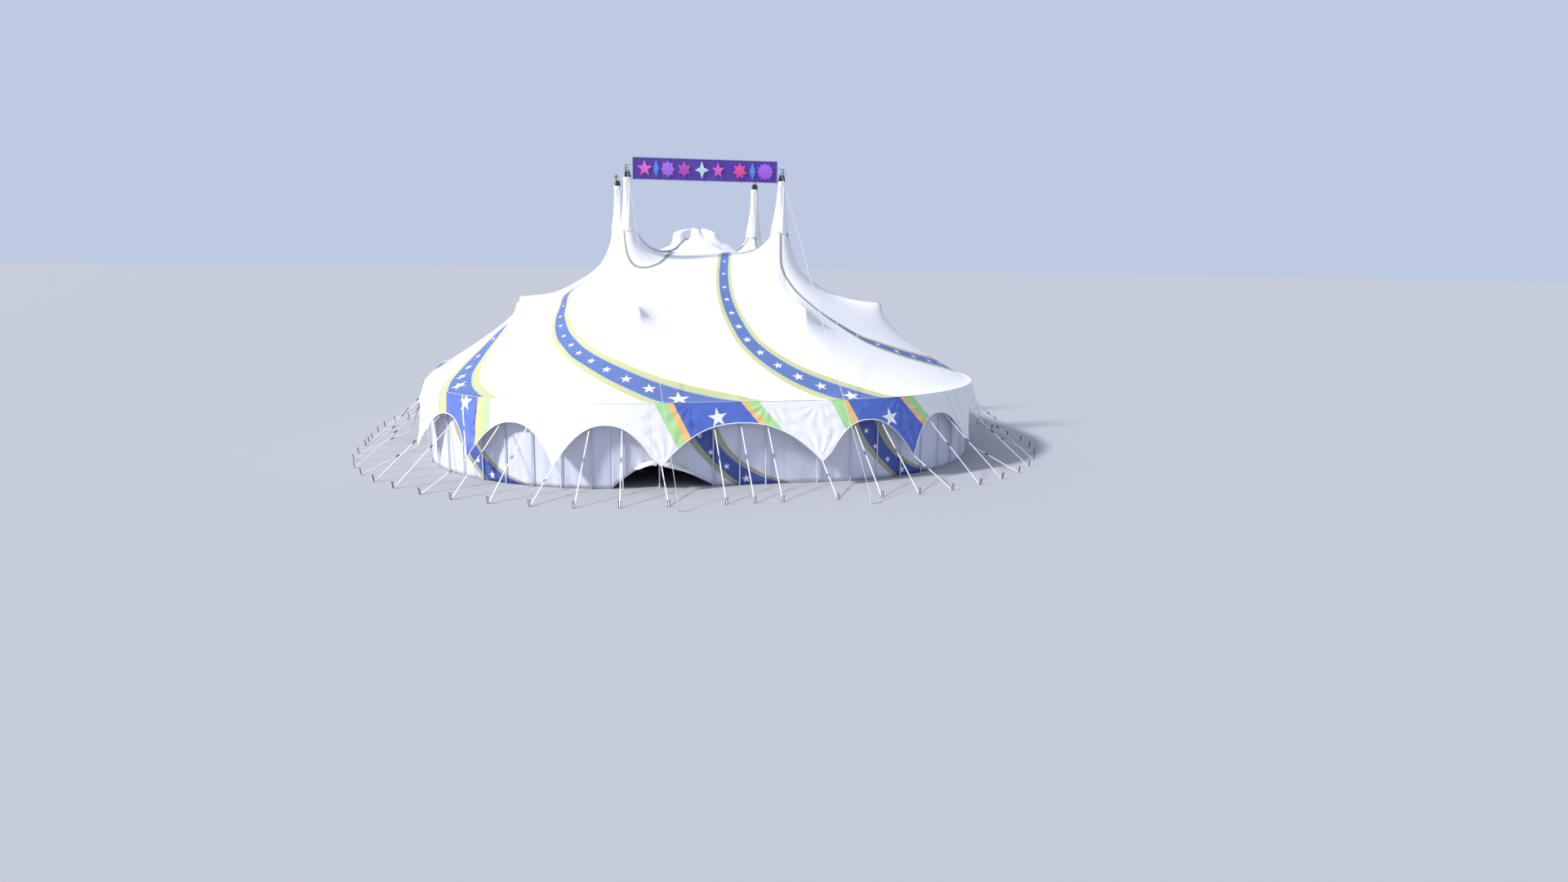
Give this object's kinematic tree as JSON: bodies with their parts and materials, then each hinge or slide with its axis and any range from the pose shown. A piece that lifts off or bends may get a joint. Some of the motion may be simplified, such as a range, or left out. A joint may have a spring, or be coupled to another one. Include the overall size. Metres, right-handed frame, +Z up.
{
  "type": "circus big top tent, 1:2 scale model",
  "caption": "Four-mast circus big top with laced canopy, crown cap, scalloped valance, curtain wall, side poles and guys, as a half-scale model.",
  "frame": {"origin": "on the ground under the middle of the tent", "axes": "+X along the front row of king poles, +Y towards the back, +Z up"},
  "size_m": [20.9746, 21.6684, 8.89],
  "materials": {
    "canopy_fabric": "coated white tent fabric",
    "valance_fabric": "coated white tent fabric with blue, green and orange bands",
    "wall_fabric": "coated white tent fabric",
    "galvanised_steel": "galvanised",
    "stay_cable": "wire rope",
    "webbing": "woven white webbing",
    "sign_board": "satin paint"
  },
  "bodies": {
    "root": {"canopy_back": "canopy_fabric", "canopy_corner_back_left": "canopy_fabric", "canopy_corner_back_right": "canopy_fabric", "canopy_corner_front_left": "canopy_fabric", "canopy_corner_front_right": "canopy_fabric", "canopy_front": "canopy_fabric", "canopy_left": "canopy_fabric", "canopy_middle": "canopy_fabric", "canopy_right": "canopy_fabric", "crown_cap": "canopy_fabric", "crown_ring": "galvanised_steel", "doorway_awning_left": "wall_fabric", "doorway_awning_right": "wall_fabric", "edge_webbing_back": "webbing", "edge_webbing_front": "webbing", "edge_webbing_left": "webbing", "edge_webbing_right": "webbing", "king_pole_back_left": "galvanised_steel", "king_pole_back_right": "galvanised_steel", "king_pole_front_left": "galvanised_steel", "king_pole_front_right": "galvanised_steel", "mast_sleeve_back_left": "canopy_fabric", "mast_sleeve_back_right": "canopy_fabric", "mast_sleeve_front_left": "canopy_fabric", "mast_sleeve_front_right": "canopy_fabric", "mast_stay_back_left": "stay_cable", "mast_stay_back_right": "stay_cable", "mast_stay_front_left": "stay_cable", "mast_stay_front_right": "stay_cable", "quarter_pole_back_left_a": "galvanised_steel", "quarter_pole_back_left_b": "galvanised_steel", "quarter_pole_back_right_a": "galvanised_steel", "quarter_pole_back_right_b": "galvanised_steel", "quarter_pole_front_left_a": "galvanised_steel", "quarter_pole_front_left_b": "galvanised_steel", "quarter_pole_front_right_a": "galvanised_steel", "quarter_pole_front_right_b": "galvanised_steel", "side_poles_back": "galvanised_steel", "side_poles_front": "galvanised_steel", "side_poles_left": "galvanised_steel", "side_poles_right": "galvanised_steel", "sign_frame": "galvanised_steel", "sign_panel": "sign_board", "valance_back": "valance_fabric", "valance_front": "valance_fabric", "valance_left": "valance_fabric", "valance_right": "valance_fabric", "wall_back": "wall_fabric", "wall_front_left": "wall_fabric", "wall_front_right": "wall_fabric", "wall_left": "wall_fabric", "wall_over_doorway": "wall_fabric", "wall_right": "wall_fabric"}
  },
  "joints": []
}
